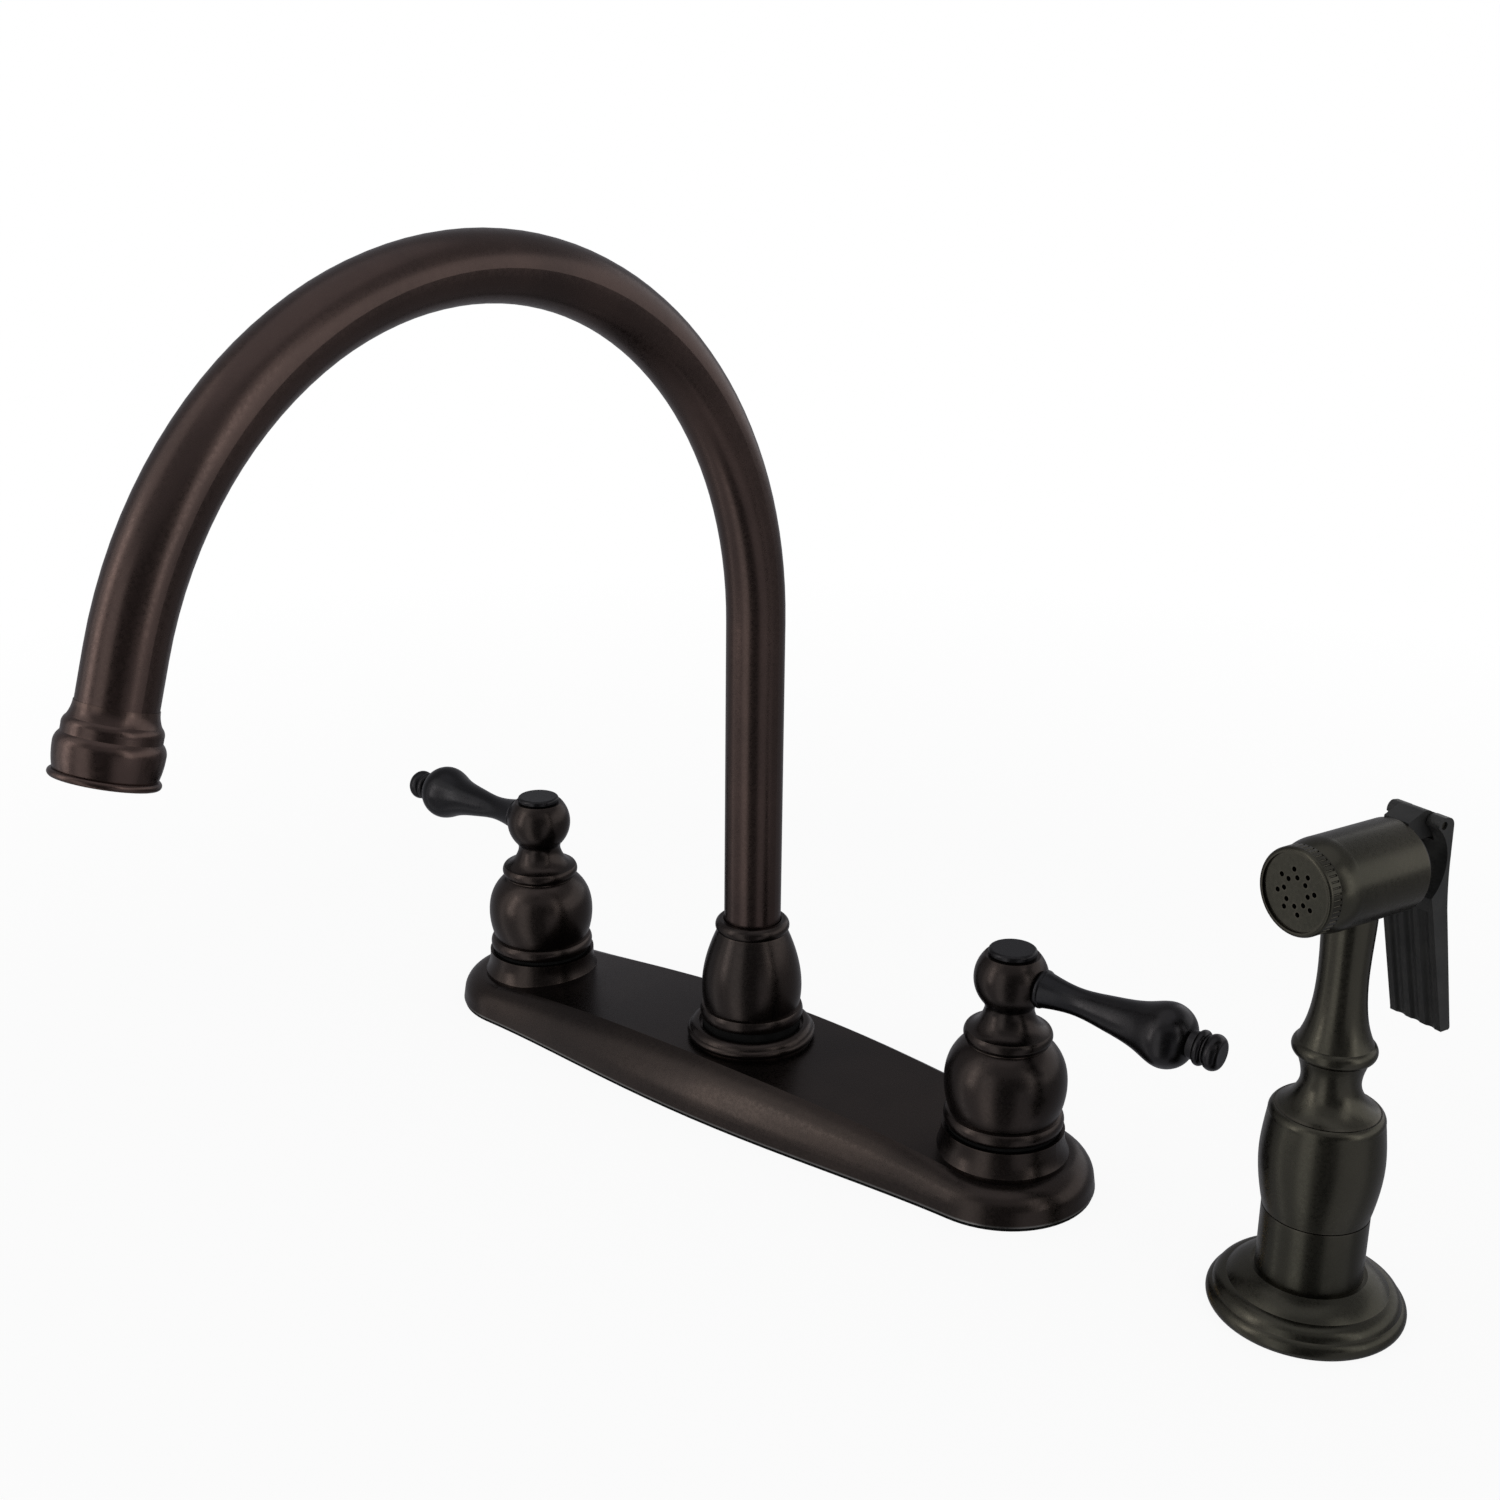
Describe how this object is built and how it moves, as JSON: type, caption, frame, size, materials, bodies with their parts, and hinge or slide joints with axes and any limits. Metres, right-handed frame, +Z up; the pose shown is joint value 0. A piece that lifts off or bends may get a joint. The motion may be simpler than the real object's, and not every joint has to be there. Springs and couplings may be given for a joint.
{
  "type": "two handle kitchen faucet",
  "caption": "Deck-mounted kitchen faucet with a gooseneck spout, lever handles on bells, a long base plate and a side sprayer.",
  "frame": {"origin": "on the deck surface, on the spout's axis", "axes": "+X along the plate to the user's right (cold handle and sprayer), -Y towards the user, +Z up out of the deck"},
  "size_m": [0.4024, 0.2846, 0.3419],
  "materials": {
    "spout_bronze": "satin dark bronze, brown",
    "plate_bronze": "satin dark bronze, brown to black",
    "handle_bronze": "satin dark bronze, nearly black",
    "sprayer_bronze": "satin dark bronze, grey-green",
    "black_plastic": "moulded, fine grain",
    "black_rubber": "matt",
    "brass": "raw, turned",
    "zinc_steel": "zinc plated",
    "stainless": "drawn wire and pins",
    "ceramic": "polished",
    "white_plastic": "moulded"
  },
  "bodies": {
    "deck": {"deck_plate": "plate_bronze", "base_gasket": "black_rubber", "waterway_body": "brass", "shank_locknuts": "brass", "shank_washers": "zinc_steel", "hose_nipple": "brass", "bonnet_nuts": "brass", "bell_seals": "black_rubber", "stem_orings": "black_rubber", "seat_seals": "black_rubber", "hot_inlet_shank": "brass", "cold_inlet_shank": "brass", "hot_cartridge_housing": "brass", "cold_cartridge_housing": "brass", "hot_fixed_disc": "ceramic", "cold_fixed_disc": "ceramic", "hot_bell": "handle_bronze", "cold_bell": "handle_bronze", "spout_nut": "handle_bronze", "spout_bush": "white_plastic", "collar_seal": "black_rubber", "diverter_cup": "white_plastic", "diverter_spring": "stainless", "sprayer_flange": "sprayer_bronze", "sprayer_holder": "sprayer_bronze", "holder_liner": "black_plastic", "holder_nut": "black_plastic", "holder_washer": "zinc_steel"},
    "hot_handle": {"hot_moving_disc": "ceramic", "hot_valve_stem": "brass", "hot_handle_hub": "handle_bronze", "hot_lever": "handle_bronze", "hot_handle_screw": "stainless", "hot_index_cap": "handle_bronze"},
    "cold_handle": {"cold_moving_disc": "ceramic", "cold_valve_stem": "brass", "cold_handle_hub": "handle_bronze", "cold_lever": "handle_bronze", "cold_handle_screw": "stainless", "cold_index_cap": "handle_bronze"},
    "spout": {"spout_tube": "spout_bronze", "spout_outlet": "spout_bronze", "aerator_housing": "spout_bronze", "aerator_screen": "stainless", "aerator_insert": "white_plastic", "aerator_washer": "black_rubber", "spout_base_sleeve": "brass", "spout_orings": "black_rubber"},
    "diverter": {"diverter_plunger": "white_plastic"},
    "hose_end": {"hose_coupling": "brass"},
    "spray_handle": {"sprayer_barrel": "sprayer_bronze", "sprayer_wand": "sprayer_bronze", "sprayer_head": "sprayer_bronze", "nozzle_ring": "sprayer_bronze", "spray_face": "sprayer_bronze", "valve_rear": "black_plastic", "pivot_pin": "sprayer_bronze", "plunger_spring": "stainless"},
    "trigger": {"spray_trigger": "black_plastic"},
    "push_rod": {"valve_plunger": "white_plastic"}
  },
  "joints": [
    {"name": "spout_swivel", "type": "hinge", "parent": "deck", "child": "spout", "pos_m": [0, 0, 0.03], "axis": [0, 0, 1], "continuous": true},
    {"name": "hot_handle_turn", "type": "hinge", "parent": "deck", "child": "hot_handle", "pos_m": [-0.1016, 0, 0.03], "axis": [0, 0, 1], "range_deg": [0, 90]},
    {"name": "cold_handle_turn", "type": "hinge", "parent": "deck", "child": "cold_handle", "pos_m": [0.1016, 0, 0.03], "axis": [0, 0, 1], "range_deg": [-90, 0]},
    {"name": "diverter_travel", "type": "slide", "parent": "deck", "child": "diverter", "axis": [0, 0, 1], "range_m": [0, 0.0025], "stiffness_N_per_m": 60, "springref_m": -0.002, "deforming": ["diverter_spring"]},
    {"name": "sprayer_lift", "type": "slide", "parent": "deck", "child": "hose_end", "axis": [0, 0, 1], "range_m": [0, 0.04]},
    {"name": "sprayer_swivel", "type": "hinge", "parent": "hose_end", "child": "spray_handle", "pos_m": [0.2032, 0, 0.03], "axis": [0, 0, 1], "continuous": true},
    {"name": "trigger_squeeze", "type": "hinge", "parent": "spray_handle", "child": "trigger", "pos_m": [0.21002, 0.02176, 0.143], "axis": [-0.9542, 0.299, 0], "range_deg": [0, 8], "stiffness_Nm_per_rad": 1, "springref_deg": -5.73},
    {"name": "push_rod_travel", "type": "slide", "parent": "spray_handle", "child": "push_rod", "axis": [-0.299, -0.9542, 0], "range_m": [0, 0.0018], "deforming": ["plunger_spring"]}
  ],
  "couplings": [
    {"joint": "push_rod_travel", "follows": "trigger_squeeze", "m_per_rad": 0.0118}
  ]
}
